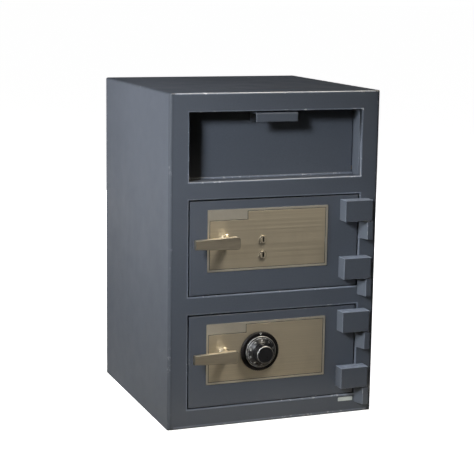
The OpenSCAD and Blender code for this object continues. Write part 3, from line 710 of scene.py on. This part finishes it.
# Index mark on the ring, above the dial: a V whose outline is given in mm from its foot
index_tall = ring_r - 3.0 - (dial_r + 2.6)
index_foot = dial_centre[2] + (dial_r + 2.6) * MM
index_outline = [(dial_centre[0] + x * MM, index_foot + z * MM) for x, z in (
    (0.0, 0.0), (3.0, index_tall), (1.5, index_tall), (0.0, 2.0), (-1.5, index_tall),
    (-3.0, index_tall))]
index_mesh = sheet_mesh("index", [index_outline], ring_lo.y - 0.1 * MM, ring_lo.y + 0.05 * MM)
joined_piece("dial_index", [(index_mesh, 0)], "lower_door", ["white"])


# ---------------------------------------------------------------- studio

FRONT_MIDDLE = (0, -0.254, 0.45)


def add_lamp(name, data, place, towards):
    """A lamp that shines away from the direction towards, and that the camera can't see."""
    obj = bpy.data.objects.new(name, data)
    scene.collection.objects.link(obj)
    obj.location = place
    obj.rotation_mode = "QUATERNION"
    obj.rotation_quaternion = towards.to_track_quat("Z", "Y")
    obj.visible_camera = False
    return obj


def softbox(name, lights, azimuth, elevation, distance, width, height, radiance, colour,
            aim=FRONT_MIDDLE):
    """A rectangular lamp round the cabinet. Azimuth is from the front's normal, to the right.

    It lights the diffuse colour of what it shines on, or only the gloss.
    """
    az, el = math.radians(azimuth), math.radians(elevation)
    out = Vector((math.sin(az) * math.cos(el), -math.cos(az) * math.cos(el), math.sin(el)))
    data = bpy.data.lights.new(name, "AREA")
    data.shape = "RECTANGLE"
    data.size, data.size_y = width, height
    data.energy = radiance * math.pi * width * height
    data.color = colour
    obj = add_lamp(name, data, Vector(aim) + out * distance, out)
    obj.visible_glossy = lights == "gloss"
    obj.visible_diffuse = lights == "diffuse"


def spotlight(name, place, aim, angle, power, radius, colour, stretch=1.0):
    """A round lamp whose light fades towards the edge of its cone, which stretch makes taller."""
    data = bpy.data.lights.new(name, "SPOT")
    data.spot_size, data.spot_blend = math.radians(angle), 1.0
    data.energy, data.shadow_soft_size, data.color = power, radius, colour
    obj = add_lamp(name, data, place, Vector(place) - Vector(aim))
    obj.scale = (1, stretch, 1)


COOL = (0.95, 0.97, 1.0)

# Place, aim, cone in degrees, power, radius, colour
spotlight("key", (-2.182, -1.898, 1.839), (-0.47, -0.254, 0.68), 32.0, 640, 0.32,
          (0.92, 0.955, 1.0))
spotlight("right_faces", (-1.7, -0.6, 0.75), (0.3, -0.425, 0.42), 18.0, 150, 0.1,
          (0.88, 0.95, 1.0), 2.2)

# Azimuth, elevation, distance, width, height, radiance, colour, aim
softbox("side", "diffuse", -80.0, 18.0, 3.6, 2.2, 2.2, 5.2, (1.0, 0.94, 0.76))
softbox("side_high", "diffuse", -90.0, 25.0, 0.7, 0.3, 0.3, 20.5, (1.0, 0.97, 0.97),
        (-0.254, 0.03, 0.64))
softbox("right_side", "diffuse", 101.0, 8.0, 3.0, 2.2, 2.0, 6.5, COOL, (0.254, 0.0, 0.4))
softbox("rear", "diffuse", 180.0, 8.0, 3.0, 2.4, 2.0, 5.5, COOL, (0.0, 0.254, 0.4))
softbox("edge_line", "gloss", 52.0, 65.0, 2.2, 0.8, 0.8, 60, (1.0, 0.91, 0.75))
softbox("card", "gloss", 22.0, 6.0, 2.6, 3.0, 1.3, 0.05, (1.0, 0.96, 0.90))
softbox("floor_card", "gloss", 0.0, -90.0, 0.01, 3.0, 2.6, 0.09, (1.0, 0.95, 0.87),
        (0.7, -1.75, 0.02))
softbox("bounce", "diffuse", 0.0, 3.0, 0.10, 0.9, 0.05, 2.3, (1.0, 0.92, 0.78),
        (0.0, -0.254, 0.0))

FLOOR_HALF = 60


def ground(name, colour, glow, height):
    """A flat floor far larger than the view."""
    corners = [(x * FLOOR_HALF, y * FLOOR_HALF, height)
               for x, y in ((-1, -1), (1, -1), (1, 1), (-1, 1))]
    mesh = plain_mesh(name, corners, [(0, 1, 2, 3)])
    obj = bpy.data.objects.new(name, mesh)
    scene.collection.objects.link(obj)
    m = Finish(name, Roughness=0.9)
    m.feed("Base Color", m.blend(m.noise(2.0), lighter(colour, 0.98), lighter(colour, 1.02)))
    m.feed("Emission Color", (1.0, 1.0, 1.0))
    m.feed("Emission Strength", glow)
    mesh.materials.append(m.material)
    return obj


# The white floor is what the camera sees. The grey one under it is what the part reflects.
white_floor = ground("floor_white", (0.8, 0.8, 0.8), 0.99, 0.0)
white_floor.visible_diffuse = False
white_floor.visible_glossy = False
grey_floor = ground("floor_grey", (0.72, 0.66, 0.56), 0.0, -0.0005)
grey_floor.visible_camera = False

# The same goes for the backdrop: white for the camera, nearly dark for the part
world = bpy.data.worlds.new("studio")
scene.world = world
world.use_nodes = True
sky = world.node_tree
sky.nodes.clear()
sky_out = sky.nodes.new("ShaderNodeOutputWorld")
sky_mix = sky.nodes.new("ShaderNodeMixShader")
sky_dim = sky.nodes.new("ShaderNodeBackground")
sky_white = sky.nodes.new("ShaderNodeBackground")
sky_dim.inputs["Color"].default_value = (0.85, 0.93, 1.0, 1)
sky_dim.inputs["Strength"].default_value = 0.004
sky_white.inputs["Color"].default_value = (1, 1, 1, 1)
sky_white.inputs["Strength"].default_value = 1.0
sky.links.new(sky.nodes.new("ShaderNodeLightPath").outputs["Is Camera Ray"], sky_mix.inputs["Fac"])
sky.links.new(sky_dim.outputs["Background"], sky_mix.inputs[1])
sky.links.new(sky_white.outputs["Background"], sky_mix.inputs[2])
sky.links.new(sky_mix.outputs["Shader"], sky_out.inputs["Surface"])

# Camera, fitted to the edges of the cabinet in the photograph
YAW, PITCH, ROLL = math.radians(21.106), math.radians(10.388), math.radians(-0.854)
CAMERA_PLACE = (-1.1919, -3.0989, 0.99745)
FOCAL_PIXELS, PHOTO_PIXELS, SENSOR = 1384.3, 474, 36

forward = Vector((math.sin(YAW) * math.cos(PITCH), math.cos(YAW) * math.cos(PITCH),
                  -math.sin(PITCH)))
right = Vector((math.cos(YAW), -math.sin(YAW), 0))
down = forward.cross(right)
across = right * math.cos(ROLL) + down * math.sin(ROLL)
below = down * math.cos(ROLL) - right * math.sin(ROLL)
camera = bpy.data.objects.new("camera", bpy.data.cameras.new("camera"))
scene.collection.objects.link(camera)
turn = Matrix((across, -below, -forward)).transposed()
camera.matrix_world = Matrix.Translation(CAMERA_PLACE) @ turn.to_4x4()
camera.data.sensor_width = SENSOR
camera.data.lens = FOCAL_PIXELS * SENSOR / PHOTO_PIXELS
camera.data.clip_end = 200
scene.camera = camera
scene.view_settings.view_transform = "Standard"
